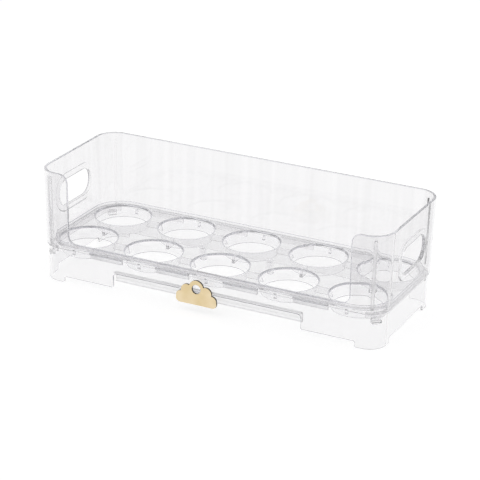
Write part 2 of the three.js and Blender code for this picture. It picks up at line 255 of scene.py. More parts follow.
def rounded(points, radii, steps=8, closed=True):
    """A polygon with each corner turned to an arc of its radius."""
    points = np.asarray(points, float)
    result = []
    count = len(points)
    for i, (corner, radius) in enumerate(zip(points, radii)):
        if radius == 0 or (not closed and i in (0, count - 1)):
            result.append(corner)
            continue
        before, after = points[i - 1] - corner, points[(i + 1) % count] - corner
        before, after = before / np.linalg.norm(before), after / np.linalg.norm(after)
        half = np.arccos(np.clip(before @ after, -1, 1)) / 2
        middle = corner + (before + after) / np.linalg.norm(before + after) * (radius / sin(half))
        reach = radius * cos(half) / sin(half)
        start, end = corner + before * reach - middle, corner + after * reach - middle
        turn = np.arctan2(start[0] * end[1] - start[1] * end[0], start @ end)
        for angle in np.linspace(0, turn, steps + 1):
            x = start[0] * cos(angle) - start[1] * sin(angle)
            y = start[0] * sin(angle) + start[1] * cos(angle)
            result.append(middle + (x, y))
    return np.array(result)


def outward(points, period=None):
    """Unit offsets that point out of the area on the left of a closed chain."""
    before, after = np.roll(points, 1, axis=0), np.roll(points, -1, axis=0)
    if period is not None:
        before[0] -= period
        after[-1] += period
    into, onward = points - before, after - points
    into /= np.linalg.norm(into, axis=1)[:, None]
    onward /= np.linalg.norm(onward, axis=1)[:, None]
    along = into + onward
    along /= np.linalg.norm(along, axis=1)[:, None]
    square = (along * into).sum(axis=1)
    return np.c_[along[:, 1], -along[:, 0]] / np.maximum(square, SHARPEST)[:, None]


def inset(points, by, period=None):
    """A closed chain moved in by a distance."""
    return points - outward(points, period) * by


def contains(loop, spots):
    """Which spots lie inside a closed loop."""
    x, y = spots[:, 0], spots[:, 1]
    inside = np.zeros(len(spots), bool)
    for (x0, y0), (x1, y1) in zip(loop, np.roll(loop, -1, axis=0)):
        if y0 != y1:
            inside ^= ((y0 > y) != (y1 > y)) & (x < (x1 - x0) * (y - y0) / (y1 - y0) + x0)
    return inside


def triangulated(loop, holes, extra):
    """Points and triangles that fill a loop around its holes."""
    loops = [loop] + holes
    edges, start = [], 0
    for part in loops:
        count = len(part)
        edges += [(start + i, start + (i + 1) % count) for i in range(count)]
        start += count
    spots = np.array(extra, float).reshape(-1, 2)
    keep = contains(loop, spots)
    for hole in holes:
        keep &= ~contains(hole, spots)
    given = np.concatenate(loops + [spots[keep]])
    flat = [Vector(p) for p in given / MM]
    made, _, faces, origins, *_ = delaunay_2d_cdt(flat, edges, [], 1, SLACK)
    made = np.array([tuple(v) for v in made]) * MM
    for number, origin in enumerate(origins):
        if origin:
            made[number] = given[origin[0]]
    faces = np.array([f for f in faces if len(f) == 3])
    middles = made[faces].mean(axis=1)
    keep = contains(loop, middles)
    for hole in holes:
        keep &= ~contains(hole, middles)
    return made, faces[keep]


# Meshes with exact normals

class Moulding:
    """Collects face corners with their own normals, and welds the points where they meet."""

    def __init__(self):
        self.keys, self.points, self.point_of, self.normals, self.faces = {}, [], [], [], []
        # edge: faces that get painted shade; satin: faces with a rougher finish
        self.finishes_and_painted_shade = {"edge": set(), "satin": set()}

    def mark(self, finish_or_painted_shade, numbers):
        """Gives some faces painted edge shade, or the satin finish of the plastic."""
        self.finishes_and_painted_shade[finish_or_painted_shade].update(numbers)

    def since(self, first_face):
        """The numbers of the faces made since there were first_face of them."""
        return range(first_face, len(self.faces))

    def add(self, points, normals):
        """Adds face corners and gives their numbers."""
        start = len(self.point_of)
        for point, normal in zip(points, normals):
            key = tuple(np.round(point / WELD).astype(int))
            if key not in self.keys:
                self.keys[key] = len(self.points)
                self.points.append(point)
            self.point_of.append(self.keys[key])
            self.normals.append(normal)
        return np.arange(start, len(self.point_of))

    def strip(self, first, second):
        """Two triangles between each pair of neighbours in two closed rows."""
        count = len(first)
        for i in range(count):
            j = (i + 1) % count
            self.faces.append((first[i], first[j], second[j]))
            self.faces.append((first[i], second[j], second[i]))

    def rows(self, rows):
        """Strips between all the rows."""
        for first, second in zip(rows, rows[1:]):
            self.strip(first, second)

    def skin(self, place, side, loop, holes=(), extra=()):
        """One face of a sheet over the area between loops; gives its triangles' numbers and middles."""
        spots, faces = triangulated(loop, list(holes), extra)
        numbers = self.add(*surface(place, spots, side))
        self.faces += [tuple(f) for f in numbers[faces]]
        return np.arange(len(self.faces) - len(faces), len(self.faces)), spots[faces].mean(axis=1)

    def band(self, place, chain, edge, period=None):
        """The rounded edge that joins the two faces of a sheet along a chain."""
        out = outward(chain, period)
        out /= np.linalg.norm(out, axis=1)[:, None]
        top, bottom = place(chain, 1), place(chain, -1)
        up = top - bottom
        up /= np.linalg.norm(up, axis=1)[:, None]
        reach = 0.05 * MM
        off = place(chain + out * reach, 1) + place(chain + out * reach, -1) - top - bottom
        off -= up * (off * up).sum(axis=1)[:, None]
        off /= np.linalg.norm(off, axis=1)[:, None]
        rows = []
        for rim, hand in ((top, 1), (bottom, -1)):
            row = []
            for k in range(EDGE_STEPS + 1):
                angle = pi / 2 * k / EDGE_STEPS
                normal = up * (hand * cos(angle)) + off * sin(angle)
                point = rim + up * (hand * edge * (cos(angle) - 1)) + off * (edge * sin(angle))
                row.append(self.add(point, normal))
            rows += row if hand > 0 else row[::-1]
        self.rows(rows)

    def plate(self, place, loop, edge, holes=()):
        """A closed flat sheet with rounded edges, drawn to its outer size."""
        loop = inset(loop, edge)
        holes = [inset(hole[::-1], edge) for hole in holes]
        for side in (1, -1):
            self.skin(place, side, loop, holes)
        for chain in [loop] + holes:
            self.band(place, chain, edge)

    def revolve(self, profile, x, y, steps):
        """A strip turned about a vertical axis; the profile is radius and height, solid on its right."""
        profile = np.asarray(profile, float)
        run = np.gradient(profile, axis=0)
        run /= np.linalg.norm(run, axis=1)[:, None]
        ring = circle(0, 0, 1, steps)
        rows = []
        for (radius, height), (d_radius, d_height) in zip(profile, run):
            points = np.c_[circle(x, y, radius, steps), np.full(steps, height)]
            rows.append(self.add(points, np.c_[ring * d_height, np.full(steps, -d_radius)]))
        self.rows(rows)

    def sweep(self, track, profile, start, end):
        """A bar of one cross-section along a stretch of a track; the profile is inset and height."""
        sides = outward(profile)
        sides /= np.linalg.norm(sides, axis=1)[:, None]
        between = [u for u in track.stations() if start + FINE / 2 < u < end - FINE / 2]
        rows = []
        for u in [start] + between + [end]:
            at = np.full(len(profile), u)
            flat, out = track.spread(at, -profile[:, 0], -profile[:, 0])
            points = np.c_[flat, profile[:, 1]]
            rows.append(self.add(points, np.c_[-out * sides[:, :1], sides[:, 1]]))
        self.rows(rows)
        spots, faces = triangulated(profile, [], [])
        for u, hand in ((start, -1), (end, 1)):
            at = np.full(len(spots), u)
            flat, out = track.spread(at, -spots[:, 0], -spots[:, 0])
            along = np.c_[-out[:, 1], out[:, 0], np.zeros(len(spots))] * hand
            numbers = self.add(np.c_[flat, spots[:, 1]], along)
            self.faces += [tuple(f) for f in numbers[faces]]

    def hoop(self, track, profile):
        """A ring of one cross-section right round a track; the profile is inset and height."""
        sides = outward(profile)
        sides /= np.linalg.norm(sides, axis=1)[:, None]
        rows = []
        for (depth, height), (inward, up) in zip(profile, sides):
            flat, out = track.spread(track.stations(), -depth, -depth)
            points = np.c_[flat, np.full(len(flat), height)]
            rows.append(self.add(points, np.c_[-out * inward, np.full(len(flat), up)]))
        self.rows(rows + rows[:1])

    def finished(self, name, body, material, node):
        """The mesh object, riding on its body in the place of its CAD node."""
        points, normals = np.array(self.points), np.array(self.normals)
        normals /= np.linalg.norm(normals, axis=1)[:, None]
        point_of, corners = np.array(self.point_of), np.array(self.faces)
        faces = point_of[corners]
        whole = (faces[:, 0] != faces[:, 1]) & (faces[:, 1] != faces[:, 2]) & (faces[:, 2] != faces[:, 0])
        faces, corners = faces[whole], corners[whole]
        a, b, c = (points[faces[:, i]] for i in range(3))
        facing = np.cross(b - a, c - a)
        wrong = (facing * normals[corners].sum(axis=1)).sum(axis=1) < 0
        faces[wrong], corners[wrong] = faces[wrong][:, ::-1], corners[wrong][:, ::-1]
        mesh = bpy.data.meshes.new(name)
        mesh.from_pydata(points.tolist(), [], faces.tolist())
        mesh.polygons.foreach_set("use_smooth", np.ones(len(faces), bool))
        mesh.normals_split_custom_set(normals[corners.ravel()].tolist())
        for finish_or_painted_shade, numbers in self.finishes_and_painted_shade.items():
            share = np.isin(np.arange(len(whole)), list(numbers)).astype(float)
            mesh.attributes.new(finish_or_painted_shade, "FLOAT", "FACE").data.foreach_set("value", share[whole])
        mesh.materials.append(material)
        piece = bpy.data.objects.new(name, mesh)
        bpy.context.scene.collection.objects.link(piece)
        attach(piece, body)
        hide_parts(node)
        return piece


def surface(place, spots, side):
    """Points of one face of a sheet, with normals from how the face turns around each spot."""
    step = 0.02 * MM
    across = place(spots + [step, 0], side) - place(spots - [step, 0], side)
    along = place(spots + [0, step], side) - place(spots - [0, step], side)
    normals = np.cross(across, along)
    normals /= np.linalg.norm(normals, axis=1)[:, None]
    apart = place(spots, 1) - place(spots, -1)
    normals[(normals * apart).sum(axis=1) * side < 0] *= -1
    return place(spots, side), normals


def slab(origin, across, along, out, half):
    """Where the spots of a flat sheet lie, with its faces at half on either side of the origin."""
    origin, across, along, out = (np.array(v, float) for v in (origin, across, along, out))

    def place(spots, side):
        return origin + spots[:, :1] * across + spots[:, 1:] * along + out * (half * side)

    return place


# The rounded rectangles that the wall and the base follow

class Track:
    """Places round a rounded rectangle, from the middle of the back, counterclockwise from above."""

    def __init__(self, x, y, radius):
        self.x, self.y, self.radius = x, y, radius
        quarter = radius * pi / 2
        self.long, self.short = x - radius, y - radius
        lengths = [self.long, quarter, 2 * self.short, quarter, 2 * self.long, quarter, 2 * self.short,
                   quarter, self.long]
        self.starts = np.concatenate([[0], np.cumsum(lengths)])
        self.length = self.starts[-1]

    def spread(self, u, grow_x, grow_y):
        """Points at u and their outward directions, with the sides moved out by the growths."""
        u = np.mod(u, self.length)
        stretch = np.clip(np.searchsorted(self.starts, u, side="right") - 1, 0, 8)
        share = (u - self.starts[stretch]) / (self.starts[stretch + 1] - self.starts[stretch])
        radius = self.radius + (grow_x + grow_y) / 2
        long, short = self.x + grow_x - radius, self.y + grow_y - radius
        turn = np.radians(90 * (1 + stretch // 2 + np.where(stretch % 2, share, 0)))
        centre_x = np.select([stretch == 0, stretch <= 3, stretch == 4, stretch <= 7],
                             [-long * share, -long, -long + 2 * long * share, long], long * (1 - share))
        centre_y = np.select([stretch <= 1, stretch == 2, stretch <= 5, stretch == 6],
                             [short, short - 2 * short * share, -short, 2 * short * share - short], short)
        out = np.c_[np.cos(turn), np.sin(turn)]
        return np.c_[centre_x, centre_y] + out * np.reshape(radius, (-1, 1)), out

    def front(self, x):
        """The place on the front wall at x."""
        return self.length / 2 + x

    def back(self, x):
        """The place on the back wall at x."""
        return (self.length - x) % self.length

    def end(self, hand, y):
        """The place on an end wall at y; hand is -1 for the left end."""
        side = 2 if hand < 0 else 6
        middle = (self.starts[side] + self.starts[side + 1]) / 2
        return middle + hand * y

    def corners(self):
        """The places in the middle of the four corners."""
        return [(self.starts[k] + self.starts[k + 1]) / 2 for k in (1, 3, 5, 7)]

    def stations(self):
        """Places to step at: close together round the corners, wide apart along the sides."""
        stops = []
        for k in range(9):
            step = FINE if k % 2 else COARSE
            count = max(1, int(np.ceil((self.starts[k + 1] - self.starts[k]) / step)))
            stops.append(np.linspace(self.starts[k], self.starts[k + 1], count + 1)[:-1])
        return np.concatenate(stops)

    def bends(self, heights):
        """Spots that keep a face true to the round corners."""
        around = [u for u in self.stations() if any(
            self.starts[k] <= u <= self.starts[k + 1] for k in (1, 3, 5, 7))]
        return np.array([(u, z) for u in around for z in heights])

    def between(self, low, high):
        """The outline of the area between two chains that run right round the track."""
        lap = np.array([self.length, 0])
        seam = divided([low[0], high[0]], COARSE, closed=False)[1:-1]
        return np.concatenate([low, [low[0] + lap], seam + lap, [high[0] + lap], high[1:][::-1], [high[0]],
                               seam[::-1]])


def smooth(value):
    """An even rise from 0 to 1 with no kink at either end."""
    value = np.clip(value, 0, 1)
    return value * value * (3 - 2 * value)


def path_round(points, radii, by, period):
    """A chain round a track with its corners rounded, moved in from its edge."""
    chain = divided(rounded(points, radii, closed=False), FINE, closed=False)[:-1]
    start = chain[0].copy()
    moved = inset(chain, by, [period, 0])
    moved[0, 0] = start[0]
    return moved


half_flare = (END_FLARE + SIDE_FLARE) / 2
seam_corner = RIM_CORNER - half_flare
wall_track = Track(wall_high.x - END_FLARE / 2, wall_high.y - SIDE_FLARE / 2, RIM_CORNER - half_flare / 2)
seam_track = Track(wall_high.x - END_FLARE, wall_high.y - SIDE_FLARE, seam_corner)
base_track = Track(base_high.x, base_high.y, seam_corner - BASE_INSET)


# Clear plastic and gold

def plain_material(name):
    """A new material's nodes, its shader, and the material."""
    material = bpy.data.materials.new(name)
    material.use_nodes = True
    return material.node_tree, material.node_tree.nodes["Principled BSDF"], material


def noise(tree, scale, detail, squeeze=(1, 1, 1)):
    """A noise pattern in the object's own space, drawn out along an axis by squeeze."""
    coordinates = tree.nodes.new("ShaderNodeTexCoord")
    mapping = tree.nodes.new("ShaderNodeMapping")
    mapping.inputs["Scale"].default_value = squeeze
    tree.links.new(coordinates.outputs["Object"], mapping.inputs["Vector"])
    pattern = tree.nodes.new("ShaderNodeTexNoise")
    pattern.inputs["Scale"].default_value = scale
    pattern.inputs["Detail"].default_value = detail
    tree.links.new(mapping.outputs["Vector"], pattern.inputs["Vector"])
    return pattern.outputs["Fac"]


def spread_to(tree, value, low, high, start=0, end=1):
    """A value between start and end turned to the range between low and high."""
    stretch = tree.nodes.new("ShaderNodeMapRange")
    for name, number in (("From Min", start), ("From Max", end), ("To Min", low), ("To Max", high)):
        stretch.inputs[name].default_value = number
    tree.links.new(value, stretch.inputs["Value"])
    return stretch.outputs["Result"]


def largest(tree, first, second):
    """The larger of two values."""
    most = tree.nodes.new("ShaderNodeMath")
    most.operation = "MAXIMUM"
    tree.links.new(first, most.inputs[0])
    tree.links.new(second, most.inputs[1])
    return most.outputs["Value"]


def blended(tree, first, second, share):
    """A colour between two, of which the first may come from another node."""
    mix = tree.nodes.new("ShaderNodeMix")
    mix.data_type = "RGBA"
    if isinstance(first, tuple):
        mix.inputs["A"].default_value = (*first, 1)
    else:
        tree.links.new(first, mix.inputs["A"])
    mix.inputs["B"].default_value = (*second, 1)
    tree.links.new(share, mix.inputs["Factor"])
    return mix.outputs["Result"]


def marked(tree, finish_or_painted_shade):
    """1 on the faces that a moulding marks with painted edge shade or a finish, 0 on the others."""
    attribute = tree.nodes.new("ShaderNodeAttribute")
    attribute.attribute_name = finish_or_painted_shade
    return attribute.outputs["Fac"]


def two_toned(tree, shader, value, low, high):
    """Colours the shader by a value; each tone is a colour and the value at which it starts."""
    colours = tree.nodes.new("ShaderNodeValToRGB")
    for element, (colour, position) in zip(colours.color_ramp.elements, (low, high)):
        element.color, element.position = (*colour, 1), position
    tree.links.new(value, colours.inputs["Fac"])
    tree.links.new(colours.outputs["Color"], shader.inputs["Base Color"])


def bumped(tree, shader, height, strength, distance):
    """Gives the shader small bumps that follow a height."""
    bump = tree.nodes.new("ShaderNodeBump")
    bump.inputs["Strength"].default_value = strength
    bump.inputs["Distance"].default_value = distance
    tree.links.new(height, bump.inputs["Height"])
    tree.links.new(bump.outputs["Normal"], shader.inputs["Normal"])


def clear_plastic(name, colour, flow):
    """Clear moulded plastic with faint flow lines, haze, painted shade on its edges, and a grey that grows
    with depth.

    The flow lines have the share flow of the colour's brightness.
    """
    tree, shader, material = plain_material(name)
    lines = spread_to(tree, noise(tree, *FLOW_LINES), *FLOW_CONTRAST)
    streaked = blended(tree, colour, tuple(flow * part for part in colour), lines)
    # Faces marked as edges get painted shade: a grey base colour in the place of darker surroundings seen
    # through them
    tree.links.new(blended(tree, streaked, PAINTED_EDGE_SHADE, marked(tree, "edge")), shader.inputs["Base Color"])
    shader.inputs["Transmission Weight"].default_value = 1
    shader.inputs["IOR"].default_value = PLASTIC_IOR
    waves = noise(tree, *WAVES)
    roughness = tree.nodes.new("ShaderNodeMath")
    roughness.operation = "MULTIPLY_ADD"
    roughness.inputs[1].default_value = SATIN_ROUGHNESS
    tree.links.new(marked(tree, "satin"), roughness.inputs[0])
    tree.links.new(spread_to(tree, waves, 0, CLEAR_ROUGHNESS), roughness.inputs[2])
    tree.links.new(roughness.outputs["Value"], shader.inputs["Roughness"])
    bumped(tree, shader, waves, *WAVE_BUMP)
    output = tree.nodes["Material Output"]
    absorb = tree.nodes.new("ShaderNodeVolumeAbsorption")
    absorb.inputs["Color"].default_value = (*DEPTH_COLOUR, 1)
    absorb.inputs["Density"].default_value = DEPTH_DENSITY
    tree.links.new(absorb.outputs["Volume"], output.inputs["Volume"])
    see_through = tree.nodes.new("ShaderNodeBsdfTransparent")
    see_through.inputs["Color"].default_value = (*SHADOW_COLOUR, 1)
    path = tree.nodes.new("ShaderNodeLightPath")
    mix = tree.nodes.new("ShaderNodeMixShader")
    tree.links.new(path.outputs["Is Shadow Ray"], mix.inputs["Fac"])
    tree.links.new(shader.outputs["BSDF"], mix.inputs[1])
    tree.links.new(see_through.outputs["BSDF"], mix.inputs[2])
    tree.links.new(mix.outputs["Shader"], output.inputs["Surface"])
    return material


def gold_plating(name):
    """Satin gold plating with a fine grain and slightly deeper patches."""
    tree, shader, material = plain_material(name)
    shader.inputs["Metallic"].default_value = 1
    two_toned(tree, shader, noise(tree, 120, 2), ((0.76, 0.61, 0.36), 0.3), ((0.85, 0.71, 0.48), 0.7))
    grain = noise(tree, 1500, 3)
    tree.links.new(spread_to(tree, grain, 0.26, 0.42), shader.inputs["Roughness"])
    bumped(tree, shader, grain, 0.08, 0.04 * MM)
    return material


def painted_tab_shade(name):
    """Painted shade for the tab's sides: dark brown, slightly glossy and a little uneven."""
    tree, shader, material = plain_material(name)
    pattern = noise(tree, 420, 3)
    two_toned(tree, shader, pattern, ((0.02, 0.011, 0.004), 0.35), ((0.07, 0.04, 0.012), 0.75))
    tree.links.new(spread_to(tree, pattern, 0.3, 0.5), shader.inputs["Roughness"])
    bumped(tree, shader, pattern, 0.15, 0.05 * MM)
    return material


# The greys of the three plastics are partly a faint tint of the plastic and partly painted shade, set part
# by part for darker surroundings seen in them and the shade under the holder
wall_plastic = clear_plastic("wall_plastic", (0.925, 0.921, 0.928), 0.93)
base_plastic = clear_plastic("base_plastic", (0.937, 0.934, 0.94), 0.985)
tray_plastic = clear_plastic("tray_plastic", (0.955, 0.953, 0.96), 0.985)
gold = gold_plating("gold_plating")
tab_shade = painted_tab_shade("painted_tab_shade")


# Wall: a curved sheet with the front opening and the hand holes cut out of it

def handle_distance(spots):
    """How far each spot lies outside the nearest hand hole's edge."""
    nearest = np.full(len(spots), np.inf)
    for hand in (-1, 1):
        du = np.abs(spots[:, 0] - wall_track.end(hand, 0)) - (HANDLE_HALF[0] - HANDLE_CORNER)
        dz = np.abs(spots[:, 1] - HANDLE_MIDDLE) - (HANDLE_HALF[1] - HANDLE_CORNER)
        outside = np.hypot(np.maximum(du, 0), np.maximum(dz, 0)) + np.minimum(np.maximum(du, dz), 0)
        nearest = np.minimum(nearest, outside - HANDLE_CORNER)
    return nearest


def stop_places():
    """Where the stacking stops stand: in each corner, nearer to the long wall."""
    aside = (STOP_TURN - 0.5) * pi / 2 * wall_track.radius
    return [corner + hand * aside for corner, hand in zip(wall_track.corners(), (-1, 1, -1, 1))]


def stop_height(u, z):
    """How far the stacking stops stand in, from 0 to 1: one upright rib in each corner."""
    lap = wall_track.length
    nearest = np.min([np.abs((u - place + lap / 2) % lap - lap / 2) for place in stop_places()], axis=0)
    ends = smooth((STOP_TOP - z) / STOP_SHOULDER) * smooth((z - STOP_BOTTOM) / STOP_SHOULDER)
    return smooth((STOP_HALF_WIDTH - nearest) / STOP_SHOULDER + 0.5) * ends


def wall_place(spots, side):
    """Outer face with a raised ring round each hand hole, inner face with the stacking stops."""
    u, z = spots[:, 0], spots[:, 1]
    rise = (z - (SEAM + RIM) / 2) / (RIM - SEAM)
    flat, out = wall_track.spread(u, END_FLARE * rise, SIDE_FLARE * rise)
    if side > 0:
        face = HANDLE_RAISE - END_FLARE * (z - HANDLE_MIDDLE) / (RIM - SEAM)
        reach = face * smooth((HANDLE_RING - handle_distance(spots)) / HANDLE_SHOULDER)
    else:
        reach = -WALL - STOP_DEPTH * stop_height(u, z)
    return np.c_[flat + out * reach[:, None], z]


def stop_spots():
    """Spots close enough together to carry the shape of the stacking stops."""
    heights = np.concatenate([
        np.linspace(STOP_BOTTOM, STOP_BOTTOM + STOP_SHOULDER, 6),
        np.arange(STOP_BOTTOM + FINE, STOP_TOP - FINE, FINE),
        np.linspace(STOP_TOP - STOP_SHOULDER, STOP_TOP, 6)])
    edges = [hand * (STOP_HALF_WIDTH + share * STOP_SHOULDER)
             for hand in (-1, 1) for share in np.linspace(-0.5, 0.5, 7)]
    return np.array([(place + edge, z) for place in stop_places() for edge in edges for z in heights])


def make_wall():
    """The wall, its hand holes, ledge and hooks."""
    mould = Moulding()
    lap = wall_track.length
    low = np.array([(u, SEAM + WALL_EDGE) for u in wall_track.stations()])
    left, right = wall_track.front(-OPENING_HALF), wall_track.front(OPENING_HALF)
    points = [(0, RIM), (left, RIM), (left, LIP), (right, LIP), (right, RIM), (lap, RIM)]
    radii = [0, RETURN_ROUNDING, OPENING_FILLET, OPENING_FILLET, RETURN_ROUNDING, 0]
    high = path_round(points, radii, -WALL_EDGE, lap)
    around = wall_track.between(low, high)
    holes, extra = [], []
    for hand in (-1, 1):
        middle = (wall_track.end(hand, 0), HANDLE_MIDDLE)
        hole = divided(rounded_box(*HANDLE_HALF, HANDLE_CORNER, *middle, steps=14), FINE)
        holes.append(inset(hole[::-1], WALL_EDGE))
        extra += [inset(hole, -share * (HANDLE_RING - HANDLE_SHOULDER)) for share in RING_LOOPS]
        extra += [inset(hole, HANDLE_SHOULDER * share - HANDLE_RING) for share in SHOULDER_LOOPS]
    extra.append(wall_track.bends(np.arange(SEAM + COARSE, RIM - WALL_EDGE, COARSE)))
    mould.skin(wall_place, 1, around, holes, np.concatenate(extra))
    numbers, middles = mould.skin(wall_place, -1, around, holes, np.concatenate(extra + [stop_spots()]))
    mould.mark("satin", numbers[stop_height(*middles.T) > STOP_SATIN])
    mould.band(wall_place, low, WALL_EDGE, [lap, 0])
    # The rim and the opening's edge get painted edge shade
    first_face = len(mould.faces)
    mould.band(wall_place, high[::-1], WALL_EDGE, [-lap, 0])
    mould.mark("edge", mould.since(first_face))
    for hole in holes:
        mould.band(wall_place, hole, WALL_EDGE)
    add_ledge(mould)
    for corner in seam_track.corners():
        add_hook(mould, corner)
    mould.finished("wall", "holder", wall_plastic, "surround_wall")


def add_ledge(mould):
    """The ledge with its tongue: a length round each end, and short ones between neighbouring cups.

    The short ones in front are satin, with painted edge shade above the seam.
    """
    foot = SEAM - TONGUE_DEPTH
    corners = [(LEDGE_START, SEAM), (TONGUE_START, SEAM), (TONGUE_START, foot), (TONGUE_END, foot),
               (TONGUE_END, SEAM + LEDGE), (LEDGE_START, SEAM + LEDGE)]
    radii = [0, SMALL_EDGE, SMALL_EDGE, SMALL_EDGE, SMALL_EDGE, 0]
    profile = rounded(corners, radii, steps=3)
    middles = [(left + right) / 2 for left, right in zip(cup_columns, cup_columns[1:])]
    for middle in map(seam_track.back, middles):
        mould.sweep(seam_track, profile, middle - DASH_HALF, middle + DASH_HALF)
    first_face = len(mould.faces)
    for middle in map(seam_track.front, middles):
        mould.sweep(seam_track, profile, middle - DASH_HALF, middle + DASH_HALF)
    mould.mark("satin", mould.since(first_face))
    # Their faces above the seam get painted edge shade
    for number in mould.since(first_face):
        lowest = min(mould.points[mould.point_of[corner]][2] for corner in mould.faces[number])
        if lowest > SEAM - SMALL_EDGE:
            mould.mark("edge", [number])
    lap = seam_track.length
    mould.sweep(seam_track, profile, END_LEDGE, lap / 2 - END_LEDGE)
    mould.sweep(seam_track, profile, lap / 2 + END_LEDGE, lap - END_LEDGE)


def add_hook(mould, corner):
    """A snap hook under the tongue, with its nose in the base's window."""
    (spot,), (out,) = seam_track.spread(np.array([corner]), 0, 0)
    middle = spot - out * seam_corner
    near, far, tip = (seam_corner - setback for setback in HOOK_SETBACKS)
    bottom = wall_low.z
    loop = rounded([(near, bottom), (tip, bottom), (tip, bottom + HOOK_NOSE), (far, bottom + HOOK_NOSE),
                    (far, HOOK_TOP), (near, HOOK_TOP)],
                   [SMALL_EDGE * 2] * 3 + [SMALL_EDGE] * 3, steps=3)
    place = slab((*middle, 0), (*out, 0), (0, 0, 1), (-out[1], out[0], 0), HOOK_HALF_WIDTH)
    mould.plate(place, loop, SMALL_EDGE / 2)


# Base: a straight sheet on four corner feet, with the notch in front and the marker's rail behind it

def base_place(spots, side):
    """Upright faces, the inner one a wall's thickness in."""
    flat, out = base_track.spread(spots[:, 0], 0, 0)
    reach = 0 if side > 0 else -BASE_WALL
    return np.c_[flat + out * reach, spots[:, 1]]


def base_edge():
    """The lower edge of the skirt, from the middle of the back."""
    far_x, far_y = base_high.x - FOOT, base_high.y - FOOT
    places = [(base_track.back(-far_x), 0), (base_track.end(-1, far_y), SKIRT_LIFT),
              (base_track.end(-1, -far_y), 0), (base_track.front(-far_x), SKIRT_LIFT),
              (base_track.front(-NOTCH_HALF), NOTCH_TOP), (base_track.front(NOTCH_HALF), SKIRT_LIFT),
              (base_track.front(far_x), 0), (base_track.end(1, -far_y), SKIRT_LIFT),
              (base_track.end(1, far_y), 0), (base_track.back(far_x), SKIRT_LIFT)]
    points, radii, height = [(0, SKIRT_LIFT)], [0], SKIRT_LIFT
    for u, step_to in places:
        points += [(u, height), (u, step_to)]
        radii += [NOTCH_CORNER if z == NOTCH_TOP else FOOT_CORNER for z in (height, step_to)]
        height = step_to
    return points + [(base_track.length, SKIRT_LIFT)], radii + [0]


def make_base():
    """The skirt with its windows, and the rail. The notch's edge has painted shade."""
    mould = Moulding()
    lap = base_track.length
    low = path_round(*base_edge(), BASE_EDGE, lap)
    high = np.array([(u, base_high.z - BASE_EDGE) for u in base_track.stations()])
    around = base_track.between(low, high)
    window_middle = wall_low.z + HOOK_NOSE / 2
    holes = []
    for corner in base_track.corners():
        hole = divided(rounded_box(*WINDOW_HALF, WINDOW_CORNER, corner, window_middle, steps=5), FINE)
        holes.append(inset(hole[::-1], BASE_EDGE / 2))
    extra = base_track.bends(np.arange(COARSE / 2, base_high.z - BASE_EDGE, COARSE))
    for side in (1, -1):
        mould.skin(base_place, side, around, holes, extra)
    first_face = len(mould.faces)
    mould.band(base_place, low, BASE_EDGE, [lap, 0])
    # The notch's edge gets painted edge shade
    notch = np.flatnonzero(low[:, 1] > NOTCH_TOP - 2 * NOTCH_CORNER)
    for first in mould.since(first_face)[::2 * len(low)]:
        mould.mark("edge", range(first + 2 * notch[0], first + 2 * notch[-1]))
    mould.band(base_place, high[::-1], BASE_EDGE, [-lap, 0])
    for hole in holes:
        mould.band(base_place, hole, BASE_EDGE / 2)
    add_rail(mould)
    mould.finished("base", "holder", base_plastic, "base_skirt")


def add_rail(mould):
    """The satin rail: a bead on a web that hangs from a shelf behind the notch."""
    inside = -base_high.y + BASE_WALL
    near = inside + RAIL_SETBACK
    far = near + BEAD[0]
    bead_top = BEAD_BOTTOM + BEAD[1]
    front, back = (near + far - WEB) / 2, (near + far + WEB) / 2
    corners = [(near, BEAD_BOTTOM), (far, BEAD_BOTTOM), (far, bead_top), (back, bead_top), (back, SHELF[1]),
               (inside - FUSED, SHELF[1]), (inside - FUSED, SHELF[0]), (front, SHELF[0]), (front, bead_top),
               (near, bead_top)]
    under, over = BEAD_CORNERS
    radii = [under, under, over, SMALL_EDGE, SHELF_BENDS[1], 0, 0, SHELF_BENDS[0], SMALL_EDGE, over]
    place = slab((0, 0, 0), (0, 1, 0), (0, 0, 1), (1, 0, 0), RAIL_HALF)
    first_face = len(mould.faces)
    mould.plate(place, rounded(corners, radii, steps=4), SMALL_EDGE / 2)
    mould.mark("satin", mould.since(first_face))


# Egg tray: one skin over the deck and down through every cup, with ribs, fins and bosses below

def make_tray():
    """The deck with its cups and raised rim, and what stands below it."""
    mould = Moulding()
    cups = [(x, y) for y in cup_rows for x in cup_columns]
    loop = rounded_box(tray_high.x - DECK_EDGE, tray_high.y - DECK_EDGE, DECK_CORNER - DECK_EDGE, steps=24)
    loop = divided(loop, COARSE)
    place = slab((0, 0, (tray_high.z + DECK_BOTTOM) / 2), (1, 0, 0), (0, 1, 0), (0, 0, 1), DECK / 2)
    for side, radius in ((1, CUP_MOUTH), (-1, CUP_NECK + CUP_WALL)):
        mould.skin(place, side, loop, [circle(x, y, radius, CUP_STEPS) for x, y in cups])
    mould.band(place, loop, DECK_EDGE)
    for x, y in cups:
        add_cup(mould, x, y)
    add_deck_rim(mould)
    add_ribs(mould, DECK_BOTTOM + FUSED)
    for x in (cup_columns[1] / 2, cup_columns[3] / 2):
        add_boss(mould, x, DECK_BOTTOM + FUSED)
    mould.finished("tray", "tray", tray_plastic, "egg_tray")


